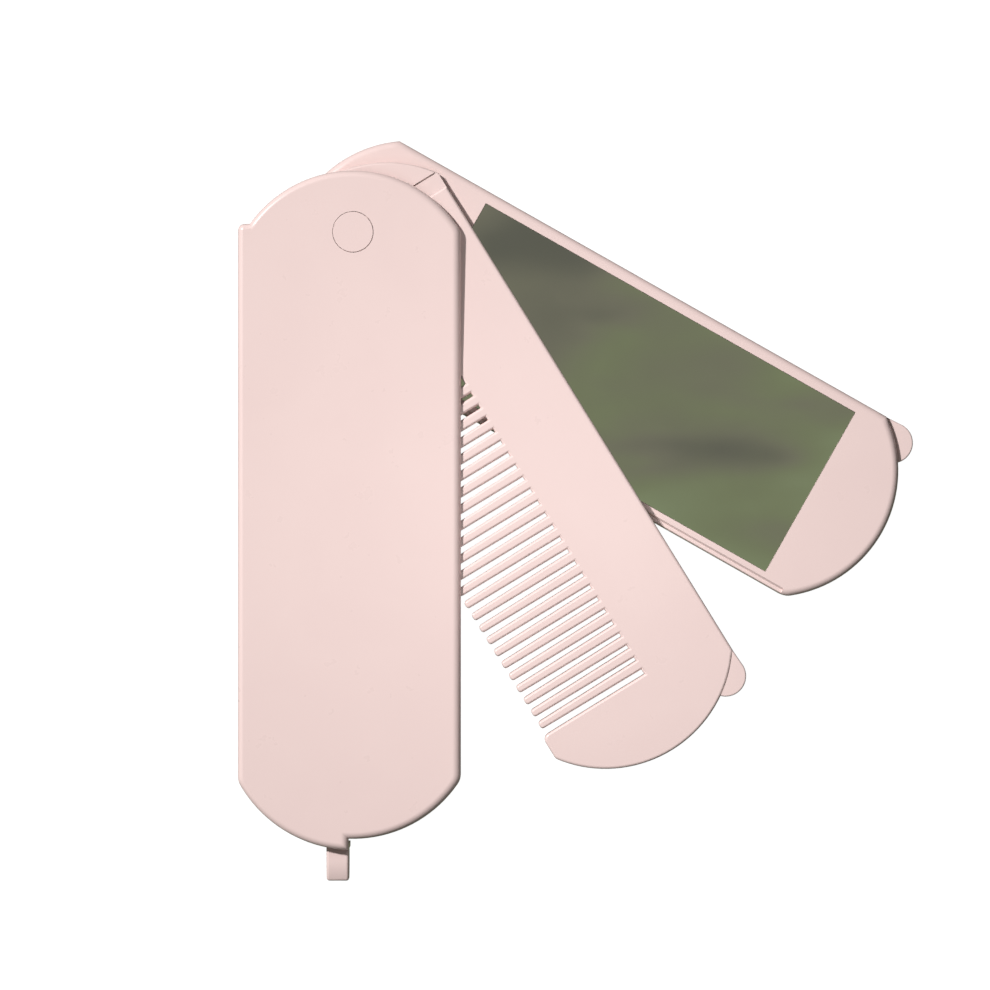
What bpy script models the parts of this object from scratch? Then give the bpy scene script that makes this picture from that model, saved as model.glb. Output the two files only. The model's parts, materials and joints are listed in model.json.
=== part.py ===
"""Pocket folding comb with a mirror, fanned half open on one pivot pin.

Units are metres with +Z up. The pivot axis is the world's Z axis, and the
object lies on its back on the plane z = 0. A leaf is modelled closed, running
along -Y from the pivot with its spine on the +X side, and its hinge empty
then turns it to the angle at which it stands open.
"""

import math

import bmesh
import bpy

MM = 0.001

# Stack of the three leaves, from the back upwards
MIRROR_THICKNESS = 4.8 * MM
COMB_THICKNESS = 2.7 * MM
COVER_THICKNESS = 1.2 * MM
LEAF_GAP = 0.25 * MM
FIT_GAP = 0.25 * MM
COMB_BOTTOM = MIRROR_THICKNESS + LEAF_GAP
COMB_TOP = COMB_BOTTOM + COMB_THICKNESS
COVER_BOTTOM = COMB_TOP + LEAF_GAP
CASE_DEPTH = COVER_BOTTOM + COVER_THICKNESS

# Angles at which the leaves stand open, counted from the closed case
COMB_OPEN_DEGREES = 31.65
MIRROR_OPEN_DEGREES = 60.5

# Outline that the comb and the mirror leaf share, but for where its end arc lies
LEAF_HALF_WIDTH = 18.45 * MM
LEAF_TOP_CENTRE = -11.4 * MM
LEAF_TOP_RADIUS = 22.3 * MM
LEAF_END_RADIUS = 22.6 * MM
COMB_END_CENTRE = -85.3 * MM
MIRROR_END_CENTRE = -85.7 * MM

# Cover and its wall
COVER_RIGHT = 19.13 * MM
COVER_LEFT = -20.42 * MM
COVER_TOP_CENTRE = -11.5 * MM
COVER_TOP_RADIUS = 22.45 * MM
COVER_END_CENTRE = -85.0 * MM
COVER_END_RADIUS = 22.57 * MM
WALL_TOP = 1.5 * MM
WALL_END_CENTRE = -86.4 * MM
WALL_END_RADIUS = 23.16 * MM
WALL_END_X = -0.8 * MM
WALL_CLEARANCE = 0.35 * MM
SIDE_CORNER_RADIUS = 3.6 * MM
STEP_CORNER_RADIUS = 1.2 * MM

# Lug at the wall's end, a block that thins towards its end, with an eye across it
LUG_WIDTH = 4.0 * MM
LUG_INSET = 0.05 * MM
LUG_TOP = 6.2 * MM
LUG_BOTTOM = 2.2 * MM
LUG_ROOT = -108.9 * MM
LUG_SHOULDER = -111.5 * MM
LUG_END = -115.3 * MM
LUG_CROWN_RADIUS = 9.0 * MM
LUG_END_ROUND = 0.7 * MM
LUG_EDGE = 0.48 * MM
EYE_DIAMETER = 2.2 * MM
EYE_CENTRE = -112.5 * MM

# Pivot pin
PIN_HEAD_DIAMETER = 7.1 * MM
PIN_SHAFT_DIAMETER = 4.0 * MM
PIN_HEAD_HEIGHT = 0.5 * MM

# Comb
TOOTH_COUNT = 24
TOOTH_PITCH = 2.508 * MM
FIRST_TOOTH = -34.25 * MM
TOOTH_ROOT_X = 2.85 * MM
TOOTH_TIP_X = -17.8 * MM
TOOTH_ROOT_WIDTH = 1.8 * MM
TOOTH_TIP_WIDTH = 1.42 * MM
TOOTH_TIP_ROUND = 0.4 * MM
HUB_BLOCK_END = -31.8 * MM
END_BLOCK_START = -93.85 * MM
BLOCK_CORNER_RADIUS = 1.2 * MM
HUB_DROP = 1.0 * MM
RAMP_START = -1.9 * MM
RAMP_END = -30.0 * MM
SLOT_START = 1.6 * MM
SLOT_END = -1.65 * MM
SLOT_DEPTH = 0.28 * MM
HUB_DISC_RADIUS = 9.0 * MM

# Thumb tab on the spine side of both leaves, measured from the end arc's centre
TAB_CENTRE_X = 14.95 * MM
TAB_CENTRE_DROP = 16.4 * MM
TAB_ROOT_DROP = 12.6 * MM
TAB_RADIUS = 3.65 * MM
TAB_SWEEP_DEGREES = 140.0
TAB_SPINE_INSET = 0.04 * MM
TAB_ROOT_X = 9.0 * MM
TAB_EDGE = 0.3 * MM
TAB_LIFT = 0.3 * MM
COMB_TAB_STEP = 0.3 * MM
MIRROR_TAB_STEP = 1.7 * MM

# Mirror glass, and the sloped step along its frame's teeth side
GLASS_WIDTH = 32.6 * MM
GLASS_TOP = -17.8 * MM
GLASS_BOTTOM = -93.5 * MM
GLASS_THICKNESS = 1.6 * MM
LEDGE_START_X = -17.3 * MM
LEDGE_X = -17.66 * MM
LEDGE_DEPTH = 0.5 * MM
LEDGE_TOP = -4.0 * MM
LEDGE_BOTTOM = -97.8 * MM

# Edge rounding, and how fine round stretches are
COVER_FILLET = 1.5 * MM
WALL_FILLET_SHARE = 0.7
COMB_FILLET = 0.55 * MM
TOOTH_FILLET_SHARE = 0.6
TOOTH_FILLET_TOP = -28.0 * MM
SIDE_FILLET_BOTTOM = -96.5 * MM
MIRROR_FILLET = 1.3 * MM
SIDE_FILLET_SHARE = 0.2
SIDE_FILLET_TOP = -1.0 * MM
UNDERSIDE_SHARE = 0.3
ARC_STEP_DEGREES = 4.0
TURNED_STEPS = 48
SMOOTH_DEGREES = 35.0
BEYOND = 30.0 * MM

PINK = (0.855, 0.665, 0.631, 1.0)
PIN_PINK = (0.840, 0.650, 0.616, 1.0)
GLASS_TINT = (0.80, 0.83, 0.80, 1.0)


def clear_objects():
    """Remove whatever objects the open file holds."""
    for obj in list(bpy.data.objects):
        bpy.data.objects.remove(obj)


def make_material(name, colour, roughness, metallic=0.0):
    """Return a Principled material with one colour."""
    material = bpy.data.materials.new(name)
    material.use_nodes = True
    shader = material.node_tree.nodes["Principled BSDF"]
    shader.inputs["Base Color"].default_value = colour
    shader.inputs["Roughness"].default_value = roughness
    shader.inputs["Metallic"].default_value = metallic
    return material


def arc(centre, radius, start, end):
    """Return points on an arc about (x, y) from start to end in degrees."""
    steps = max(2, round(abs(end - start) / ARC_STEP_DEGREES))
    points = []
    for step in range(steps + 1):
        angle = math.radians(start + (end - start) * step / steps)
        x = centre[0] + radius * math.cos(angle)
        y = centre[1] + radius * math.sin(angle)
        points.append((x, y))
    return points


def angle_at_x(radius, x):
    """Return the angle in degrees, 0 to 180, at which a circle about x = 0 reaches x."""
    return math.degrees(math.acos(x / radius))


def round_corner(before, corner, after, radius, steps=4):
    """Return the points of an arc that rounds the corner between two straight runs."""
    ax, ay = before[0] - corner[0], before[1] - corner[1]
    bx, by = after[0] - corner[0], after[1] - corner[1]
    a_length, b_length = math.hypot(ax, ay), math.hypot(bx, by)
    ax, ay, bx, by = ax / a_length, ay / a_length, bx / b_length, by / b_length
    half = math.acos(max(-1.0, min(1.0, ax * bx + ay * by))) / 2
    mx, my = ax + bx, ay + by
    m_length = math.hypot(mx, my)
    to_centre = radius / math.sin(half)
    cx = corner[0] + mx / m_length * to_centre
    cy = corner[1] + my / m_length * to_centre
    reach = radius / math.tan(half)
    start = math.atan2(corner[1] + ay * reach - cy, corner[0] + ax * reach - cx)
    end = math.atan2(corner[1] + by * reach - cy, corner[0] + bx * reach - cx)
    turn = (end - start + math.pi) % (2 * math.pi) - math.pi
    points = []
    for step in range(steps + 1):
        angle = start + turn * step / steps
        points.append((cx + radius * math.cos(angle), cy + radius * math.sin(angle)))
    return points


def add_object(name, mesh, material=None, parent=None, helper=False):
    """Link a mesh object, dress it, and hide it from the build if it only shapes others."""
    obj = bpy.data.objects.new(name, mesh)
    bpy.context.scene.collection.objects.link(obj)
    obj.parent = parent
    if material:
        mesh.materials.append(material)
    if helper:
        obj.hide_render = True
        obj.display_type = "WIRE"
    return obj


def extruded(outline, along):
    """Return a bmesh of a closed outline of (x, y, z) points drawn out along a vector."""
    bm = bmesh.new()
    face = bm.faces.new([bm.verts.new(point) for point in outline])
    grown = bmesh.ops.extrude_face_region(bm, geom=[face])
    moved = [item for item in grown["geom"] if isinstance(item, bmesh.types.BMVert)]
    bmesh.ops.translate(bm, vec=along, verts=moved)
    return bm


def finish_mesh(bm, name):
    """Turn a bmesh into a mesh with outward normals and smooth round faces."""
    bmesh.ops.recalc_face_normals(bm, faces=bm.faces)
    mesh = bpy.data.meshes.new(name)
    bm.to_mesh(mesh)
    bm.free()
    mesh.shade_smooth()
    mesh.set_sharp_from_angle(angle=math.radians(SMOOTH_DEGREES))
    return mesh


def prism(outline, bottom, top):
    """Return a bmesh of an outline in XY drawn out from bottom to top."""
    return extruded([(x, y, bottom) for x, y in outline], (0, 0, top - bottom))


def weigh_rims(bm, middle_height, top_share, bottom_share):
    """Weigh a prism's rims for the Bevel modifier.

    top_share(x, y) gives the share of the modifier's width for the upper rim's edge
    whose middle is at (x, y), and bottom_share is the share of the whole lower rim.
    """
    weight = bm.edges.layers.float.new("bevel_weight_edge")
    for edge in bm.edges:
        if edge.calc_face_angle(0) < math.radians(SMOOTH_DEGREES):
            continue
        first, second = edge.verts
        if (first.co.xy - second.co.xy).length < MM / 100:
            continue
        middle = (first.co + second.co) / 2
        is_upper = middle.z > middle_height
        edge[weight] = top_share(middle.x, middle.y) if is_upper else bottom_share


def lower_hub(bm):
    """Lower the upper side of the comb's hub, with a long ramp up to the teeth."""
    middle_height = (COMB_BOTTOM + COMB_TOP) / 2
    for y in (RAMP_START, RAMP_END):
        bmesh.ops.bisect_plane(bm, geom=bm.verts[:] + bm.edges[:] + bm.faces[:],
                               plane_co=(0, y, 0), plane_no=(0, 1, 0))
    for vert in bm.verts:
        if vert.co.z > middle_height:
            along = (vert.co.y - RAMP_END) / (RAMP_START - RAMP_END)
            vert.co.z -= HUB_DROP * min(1.0, max(0.0, along))


def turned(name, profile, steps=TURNED_STEPS):
    """Spin a closed (radius, z) profile, which starts and ends on the axis, round Z."""
    bm = bmesh.new()
    verts = [bm.verts.new((radius, 0, z)) for radius, z in profile]
    edges = [bm.edges.new(pair) for pair in zip(verts, verts[1:])]
    bmesh.ops.spin(bm, geom=verts + edges, cent=(0, 0, 0), axis=(0, 0, 1),
                   angle=math.tau, steps=steps)
    bmesh.ops.remove_doubles(bm, verts=bm.verts, dist=MM / 100)
    return finish_mesh(bm, name)


def round_edges(obj, width, segments):
    """Round the weighted edges of an object."""
    bevel = obj.modifiers.new("Edges", "BEVEL")
    bevel.limit_method = "WEIGHT"
    bevel.width = width
    bevel.segments = segments
    bevel.miter_outer = "MITER_SHARP"
    bevel.use_clamp_overlap = False


def combine(obj, operation, helper):
    """Add a Boolean of a helper to an object, in the object's own frame."""
    helper.parent = obj
    boolean = obj.modifiers.new(helper.name, "BOOLEAN")
    boolean.operation = operation
    boolean.solver = "EXACT"
    boolean.object = helper


def helper_prism(name, outline, bottom, top):
    """Return a hidden prism that cuts or joins another object."""
    return add_object(name, finish_mesh(prism(outline, bottom, top), name), helper=True)


def box_outline(left, right, bottom, top):
    """Return the four corners of a rectangle in XY."""
    return [(left, bottom), (right, bottom), (right, top), (left, top)]


def stepped_bore(name, steps_of_bore):
    """Return a hidden turned cutter from (radius, bottom, top) steps, stacked upwards."""
    profile = [(0, steps_of_bore[0][1])]
    for radius, bottom, top in steps_of_bore:
        profile.append((radius, bottom))
        profile.append((radius, top))
    profile.append((0, steps_of_bore[-1][2]))
    return add_object(name, turned(name, profile), helper=True)


def cover_outline():
    """Return the cover's outline seen from the front, wall included."""
    right_top = angle_at_x(COVER_TOP_RADIUS, COVER_RIGHT)
    rise = WALL_TOP - COVER_TOP_CENTRE
    left_top = 180 - math.degrees(math.asin(rise / COVER_TOP_RADIUS))
    top_arc = arc((0, COVER_TOP_CENTRE), COVER_TOP_RADIUS, right_top, left_top)
    wall_arc = arc((0, WALL_END_CENTRE), WALL_END_RADIUS,
                   360 - angle_at_x(WALL_END_RADIUS, COVER_LEFT),
                   360 - angle_at_x(WALL_END_RADIUS, WALL_END_X))
    end_arc = arc((0, COVER_END_CENTRE), COVER_END_RADIUS,
                  360 - angle_at_x(COVER_END_RADIUS, WALL_END_X),
                  360 - angle_at_x(COVER_END_RADIUS, COVER_RIGHT))
    step = (COVER_LEFT, WALL_TOP)
    points = round_corner(end_arc[-1], top_arc[0], top_arc[1], SIDE_CORNER_RADIUS)
    points += top_arc[1:]
    points += round_corner(top_arc[-1], step, wall_arc[0], STEP_CORNER_RADIUS)
    points += round_corner(step, wall_arc[0], wall_arc[1], SIDE_CORNER_RADIUS)
    points += wall_arc[1:] + end_arc[:-1]
    points += round_corner(end_arc[-2], end_arc[-1], top_arc[0], SIDE_CORNER_RADIUS)
    return points


def cover_fillet(x, y):
    """Return the share of the cover's rounding: full on its open side, less on its wall's."""
    across = (x - COVER_LEFT) / (COVER_RIGHT - COVER_LEFT)
    return WALL_FILLET_SHARE + (1 - WALL_FILLET_SHARE) * across


def cavity_outline():
    """Return the outline of the space that the case leaves to the leaves."""
    inner_x = -LEAF_HALF_WIDTH - WALL_CLEARANCE
    inner_radius = LEAF_END_RADIUS + WALL_CLEARANCE
    points = arc((0, MIRROR_END_CENTRE), inner_radius,
                 360 - angle_at_x(inner_radius, inner_x),
                 360 - angle_at_x(inner_radius, WALL_END_X))
    points.append((WALL_END_X, LUG_END - BEYOND))
    points.append((COVER_RIGHT + BEYOND, LUG_END - BEYOND))
    points.append((COVER_RIGHT + BEYOND, BEYOND))
    points.append((inner_x, BEYOND))
    return points


def lug_side():
    """Return the lug's outline in YZ, from its root over the crown and back underneath."""
    middle = (LUG_TOP + LUG_BOTTOM) / 2
    sweep = math.degrees(math.asin((LUG_SHOULDER - LUG_END) / LUG_CROWN_RADIUS))
    crown = arc((LUG_SHOULDER, LUG_TOP - LUG_CROWN_RADIUS), LUG_CROWN_RADIUS, 90, 90 + sweep)
    upper = [(LUG_ROOT, LUG_TOP)] + crown[:-1]
    upper += round_corner(crown[-2], crown[-1], (LUG_END, middle), LUG_END_ROUND, 3)
    return upper + [(y, 2 * middle - z) for y, z in reversed(upper)]


def lug_helper():
    """Return the hidden solid of the lug, which the cover takes in."""
    left = WALL_END_X - LUG_INSET - LUG_WIDTH
    bm = extruded([(left, y, z) for y, z in lug_side()], (LUG_WIDTH, 0, 0))
    rims = []
    for edge in bm.edges:
        along_x = abs(edge.verts[0].co.x - edge.verts[1].co.x) > MM / 100
        beyond_root = min(vert.co.y for vert in edge.verts) < LUG_ROOT - MM / 100
        if beyond_root and not along_x:
            rims.append(edge)
    bmesh.ops.bevel(bm, geom=rims, offset=LUG_EDGE, segments=3, profile=0.5,
                    affect="EDGES")
    lug = add_object("lug_shape", finish_mesh(bm, "lug_shape"), helper=True)
    eye = turned("lug_eye", [(0, -BEYOND), (EYE_DIAMETER / 2, -BEYOND),
                             (EYE_DIAMETER / 2, 0), (0, 0)], TURNED_STEPS // 2)
    eye_cutter = add_object("lug_eye", eye, helper=True)
    eye_cutter.rotation_euler = (0, math.radians(90), 0)
    eye_cutter.location = (BEYOND / 2, EYE_CENTRE, (LUG_TOP + LUG_BOTTOM) / 2)
    combine(lug, "DIFFERENCE", eye_cutter)
    return lug


def build_cover(material):
    """Build the cover: front plate, wall and lug in one moulding."""
    bm = prism(cover_outline(), 0, CASE_DEPTH)
    weigh_rims(bm, CASE_DEPTH / 2, cover_fillet, 0.0)
    cover = add_object("cover", finish_mesh(bm, "cover"), material)
    round_edges(cover, COVER_FILLET, 5)
    cavity = helper_prism("case_cavity", cavity_outline(), -BEYOND, COVER_BOTTOM)
    combine(cover, "DIFFERENCE", cavity)
    combine(cover, "UNION", lug_helper())
    ledge = CASE_DEPTH - PIN_HEAD_HEIGHT - FIT_GAP
    seat = stepped_bore("cover_pin_seat", [
        (PIN_SHAFT_DIAMETER / 2 + FIT_GAP, 0, ledge),
        (PIN_HEAD_DIAMETER / 2 + FIT_GAP, ledge, CASE_DEPTH + BEYOND),
    ])
    combine(cover, "DIFFERENCE", seat)
    return cover


def build_pivot_pin(material):
    """Build the pin: flush front head, shaft through the leaves, back head."""
    head = PIN_HEAD_DIAMETER / 2
    shaft = PIN_SHAFT_DIAMETER / 2
    profile = [
        (0, 0), (head, 0), (head, PIN_HEAD_HEIGHT), (shaft, PIN_HEAD_HEIGHT),
        (shaft, CASE_DEPTH - PIN_HEAD_HEIGHT), (head, CASE_DEPTH - PIN_HEAD_HEIGHT),
        (head, CASE_DEPTH), (0, CASE_DEPTH),
    ]
    return add_object("pivot_pin", turned("pivot_pin", profile), material)


def leaf_top_arc():
    """Return the arc over a leaf's hub, from the spine side to the teeth side."""
    right = angle_at_x(LEAF_TOP_RADIUS, LEAF_HALF_WIDTH)
    return arc((0, LEAF_TOP_CENTRE), LEAF_TOP_RADIUS, right, 180 - right)


def leaf_end_arc(centre):
    """Return the arc round a leaf's far end, from the teeth side to the spine side."""
    right = angle_at_x(LEAF_END_RADIUS, LEAF_HALF_WIDTH)
    return arc((0, centre), LEAF_END_RADIUS, 180 + right, 360 - right)


def tooth_outline(middle):
    """Return the outline of the tooth whose middle line is at y = middle."""
    root, tip = TOOTH_ROOT_WIDTH / 2, TOOTH_TIP_WIDTH / 2
    root_upper, root_lower = (TOOTH_ROOT_X, middle + root), (TOOTH_ROOT_X, middle - root)
    tip_upper, tip_lower = (TOOTH_TIP_X, middle + tip), (TOOTH_TIP_X, middle - tip)
    points = [root_upper]
    points += round_corner(root_upper, tip_upper, tip_lower, TOOTH_TIP_ROUND, 2)
    points += round_corner(tip_upper, tip_lower, root_lower, TOOTH_TIP_ROUND, 2)
    points.append(root_lower)
    return points


def comb_outline():
    """Return the comb's outline, teeth included."""
    points = leaf_top_arc()
    hub_corner = (-LEAF_HALF_WIDTH, HUB_BLOCK_END)
    hub_root = (TOOTH_ROOT_X, HUB_BLOCK_END)
    points.append((-LEAF_HALF_WIDTH, TOOTH_FILLET_TOP))
    points += round_corner(points[-1], hub_corner, hub_root, BLOCK_CORNER_RADIUS)
    points.append(hub_root)
    for index in range(TOOTH_COUNT):
        points += tooth_outline(FIRST_TOOTH - index * TOOTH_PITCH)
    end_root = (TOOTH_ROOT_X, END_BLOCK_START)
    end_corner = (-LEAF_HALF_WIDTH, END_BLOCK_START)
    end_arc = leaf_end_arc(COMB_END_CENTRE)
    points.append(end_root)
    points += round_corner(end_root, end_corner, end_arc[0], BLOCK_CORNER_RADIUS)
    points.append((-LEAF_HALF_WIDTH, SIDE_FILLET_BOTTOM))
    points += round_corner(end_corner, end_arc[0], end_arc[1], BLOCK_CORNER_RADIUS, 2)
    points += end_arc[1:]
    return points


def comb_fillet(x, y):
    """Return the share of the comb's rounding: less on the teeth and the blocks' corners."""
    on_teeth_side = x < TOOTH_ROOT_X + MM / 10
    among_teeth = on_teeth_side and SIDE_FILLET_BOTTOM < y < TOOTH_FILLET_TOP
    return TOOTH_FILLET_SHARE if among_teeth else 1.0


def tab_helper(name, end_centre, bottom, top):
    """Return the hidden solid of a thumb tab, which its leaf takes in."""
    centre_y = end_centre - TAB_CENTRE_DROP
    root_y = end_centre - TAB_ROOT_DROP
    outline = [(TAB_ROOT_X, root_y), (LEAF_HALF_WIDTH - TAB_SPINE_INSET, root_y)]
    outline += arc((TAB_CENTRE_X, centre_y), TAB_RADIUS, 0, -TAB_SWEEP_DEGREES)
    outline.append((TAB_ROOT_X, centre_y))
    bm = prism(outline, bottom, top)
    rims = []
    for edge in bm.edges:
        level = abs(edge.verts[0].co.z - edge.verts[1].co.z) < MM / 100
        if level and min(vert.co.x for vert in edge.verts) > TAB_ROOT_X + MM / 100:
            rims.append(edge)
    bmesh.ops.bevel(bm, geom=rims, offset=TAB_EDGE, segments=2, profile=0.5,
                    affect="EDGES")
    return add_object(name, finish_mesh(bm, name), helper=True)


def hub_slot():
    """Return the hidden cutter of the shallow slot across the comb's hub."""
    floor = COMB_TOP - HUB_DROP - SLOT_DEPTH
    above = COMB_TOP + BEYOND
    side = [(SLOT_START, above), (SLOT_START, floor), (SLOT_END, floor),
            (SLOT_END - HUB_DROP, floor + HUB_DROP), (SLOT_END - HUB_DROP, above)]
    bm = extruded([(-BEYOND, y, z) for y, z in side], (2 * BEYOND, 0, 0))
    return add_object("comb_hub_slot", finish_mesh(bm, "comb_hub_slot"), helper=True)


def build_comb(material, hinge):
    """Build the comb leaf with its hub, teeth and thumb tab."""
    bm = prism(comb_outline(), COMB_BOTTOM, COMB_TOP)
    lower_hub(bm)
    weigh_rims(bm, COMB_BOTTOM + LEAF_GAP, comb_fillet, UNDERSIDE_SHARE)
    comb = add_object("comb", finish_mesh(bm, "comb"), material, hinge)
    round_edges(comb, COMB_FILLET, 3)
    combine(comb, "DIFFERENCE", hub_slot())
    disc = stepped_bore("comb_hub_disc", [
        (HUB_DISC_RADIUS, COMB_BOTTOM + LEAF_GAP, COMB_TOP),
    ])
    combine(comb, "UNION", disc)
    tab = tab_helper("comb_tab", COMB_END_CENTRE, COMB_BOTTOM + TAB_LIFT,
                     COMB_TOP - COMB_TAB_STEP)
    combine(comb, "UNION", tab)
    bore = stepped_bore("comb_bore", [
        (PIN_SHAFT_DIAMETER / 2 + FIT_GAP, COMB_BOTTOM - BEYOND, COMB_TOP + BEYOND),
    ])
    combine(comb, "DIFFERENCE", bore)
    return comb


def mirror_outline():
    """Return the mirror leaf's outline, with its teeth side's far corner rounded."""
    top_arc = leaf_top_arc()
    end_arc = leaf_end_arc(MIRROR_END_CENTRE)
    corner = round_corner(top_arc[-1], end_arc[0], end_arc[1], SIDE_CORNER_RADIUS)
    down = [(-LEAF_HALF_WIDTH, SIDE_FILLET_TOP), (-LEAF_HALF_WIDTH, SIDE_FILLET_BOTTOM)]
    up = [(LEAF_HALF_WIDTH, SIDE_FILLET_BOTTOM), (LEAF_HALF_WIDTH, SIDE_FILLET_TOP)]
    return top_arc + down + corner + end_arc[1:] + up


def mirror_fillet(x, y):
    """Return the share of the mirror leaf's rounding: less along its two straight sides."""
    at_side = abs(x) > LEAF_HALF_WIDTH - MM / 10
    straight = at_side and SIDE_FILLET_BOTTOM < y < SIDE_FILLET_TOP
    return SIDE_FILLET_SHARE if straight else 1.0


def ledge_cutter():
    """Return the hidden cutter of the sloped step and ledge along the teeth side."""
    ledge = MIRROR_THICKNESS - LEDGE_DEPTH
    rise = (LEDGE_START_X - LEDGE_X) / LEDGE_DEPTH * MM
    side = [(LEDGE_START_X + rise, MIRROR_THICKNESS + MM), (LEDGE_X, ledge),
            (-LEAF_HALF_WIDTH - MM, ledge), (-LEAF_HALF_WIDTH - MM, MIRROR_THICKNESS + MM)]
    bm = extruded([(x, LEDGE_BOTTOM, z) for x, z in side], (0, LEDGE_TOP - LEDGE_BOTTOM, 0))
    return add_object("frame_ledge", finish_mesh(bm, "frame_ledge"), helper=True)


def build_mirror_frame(material, hinge):
    """Build the mirror leaf with the glass's pocket, its ledge and its thumb tab."""
    bm = prism(mirror_outline(), 0, MIRROR_THICKNESS)
    weigh_rims(bm, MIRROR_THICKNESS / 2, mirror_fillet, SIDE_FILLET_SHARE)
    frame = add_object("mirror_frame", finish_mesh(bm, "mirror_frame"), material, hinge)
    round_edges(frame, MIRROR_FILLET, 5)
    above = MIRROR_THICKNESS + BEYOND
    half = GLASS_WIDTH / 2 + FIT_GAP
    pocket = helper_prism(
        "glass_pocket", box_outline(-half, half, GLASS_BOTTOM - FIT_GAP, GLASS_TOP + FIT_GAP),
        MIRROR_THICKNESS - GLASS_THICKNESS - FIT_GAP, above)
    combine(frame, "DIFFERENCE", pocket)
    combine(frame, "DIFFERENCE", ledge_cutter())
    tab = tab_helper("mirror_tab", MIRROR_END_CENTRE, TAB_LIFT,
                     MIRROR_THICKNESS - MIRROR_TAB_STEP)
    combine(frame, "UNION", tab)
    seat = PIN_HEAD_HEIGHT + FIT_GAP
    bore = stepped_bore("mirror_bore", [
        (PIN_HEAD_DIAMETER / 2 + FIT_GAP, -BEYOND, seat),
        (PIN_SHAFT_DIAMETER / 2 + FIT_GAP, seat, above),
    ])
    combine(frame, "DIFFERENCE", bore)
    return frame


def build_mirror_glass(material, hinge):
    """Build the glass plate, flush with the face of its frame."""
    half = GLASS_WIDTH / 2
    bm = prism(box_outline(-half, half, GLASS_BOTTOM, GLASS_TOP),
               MIRROR_THICKNESS - GLASS_THICKNESS, MIRROR_THICKNESS)
    return add_object("mirror_glass", finish_mesh(bm, "mirror_glass"), material, hinge)


def make_hinge(name, degrees):
    """Return the empty on the pivot axis that turns a leaf open."""
    hinge = bpy.data.objects.new(name, None)
    bpy.context.scene.collection.objects.link(hinge)
    hinge.rotation_euler = (0, 0, math.radians(degrees))
    return hinge


def main():
    """Build the whole folding comb."""
    clear_objects()
    comb_hinge = make_hinge("comb_hinge", COMB_OPEN_DEGREES)
    mirror_hinge = make_hinge("mirror_hinge", MIRROR_OPEN_DEGREES)
    build_cover(make_material("cover_plastic", PINK, 0.38))
    build_pivot_pin(make_material("pin_plastic", PIN_PINK, 0.34))
    build_comb(make_material("comb_plastic", PINK, 0.38), comb_hinge)
    build_mirror_frame(make_material("frame_plastic", PINK, 0.38), mirror_hinge)
    build_mirror_glass(make_material("mirror_silver", GLASS_TINT, 0.03, 1.0), mirror_hinge)


main()
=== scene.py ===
"""Finished look of a pocket folding comb with a mirror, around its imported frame.

The frame lies on its back on the plane z = 0, with the pivot axis on the world's Z axis.
Sizes are metres, angles are degrees, and colours are linear red, green and blue.
"""

from __future__ import annotations

import json
import logging
import math
from dataclasses import dataclass
from enum import Enum
from typing import Callable, Mapping, Optional, Sequence, Union

import bmesh
import bpy
from mathutils import Matrix, Vector


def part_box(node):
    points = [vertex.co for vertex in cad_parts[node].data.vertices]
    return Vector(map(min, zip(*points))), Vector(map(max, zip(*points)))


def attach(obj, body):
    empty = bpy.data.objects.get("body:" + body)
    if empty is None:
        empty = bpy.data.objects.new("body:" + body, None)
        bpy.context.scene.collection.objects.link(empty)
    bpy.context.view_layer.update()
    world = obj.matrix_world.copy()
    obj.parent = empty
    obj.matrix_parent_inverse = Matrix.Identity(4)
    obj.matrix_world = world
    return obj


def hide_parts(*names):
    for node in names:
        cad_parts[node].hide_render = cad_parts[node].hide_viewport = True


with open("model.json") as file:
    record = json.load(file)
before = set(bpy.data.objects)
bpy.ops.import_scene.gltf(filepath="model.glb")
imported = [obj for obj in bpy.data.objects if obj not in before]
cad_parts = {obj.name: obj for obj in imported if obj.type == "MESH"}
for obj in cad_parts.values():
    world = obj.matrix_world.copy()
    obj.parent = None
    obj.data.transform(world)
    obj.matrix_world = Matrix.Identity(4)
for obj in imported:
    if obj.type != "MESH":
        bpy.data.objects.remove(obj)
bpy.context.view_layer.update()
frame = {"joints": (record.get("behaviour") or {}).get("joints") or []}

MM = 0.001

# How finely arcs, corners and turned solids are stepped
ARC_STEP_DEGREES = 3
CORNER_STEPS = 6
TURNED_STEPS = 96

# An edge that turns by more than the first stays sharp, one by less than the second is flat
SMOOTH_DEGREES = 35
FLAT_DEGREES = 0.05
LARGE_FACE_WEIGHT = 100

# A length that counts as nothing, and one that reaches past whatever is cut
TINY = 0.001 * MM
BEYOND = 30.0 * MM

# Centres of the arcs round the far ends of the leaves
COMB_END_CENTRE = -85.3 * MM
MIRROR_END_CENTRE = -85.7 * MM

# Numbers of the sockets of a Mix node that mixes colours
MIX_FACTOR, MIX_FIRST, MIX_SECOND, MIX_RESULT = 0, 6, 7, 2

WHITE = (1.0, 1.0, 1.0)
PINK = (0.853, 0.665, 0.633)
CLOUDED_PINK = (0.838, 0.65, 0.62)
SILVER = (0.9, 0.92, 0.88)
HAZED_SILVER = (0.86, 0.88, 0.84)

Colour = tuple[float, float, float]
Paint = Union["Wire", Colour]
Point = tuple[float, float]
Range = tuple[float, float]
Number = Union["Wire", float]
Share = Callable[[float, float], float]

log = logging.getLogger("folding_comb")


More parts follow.
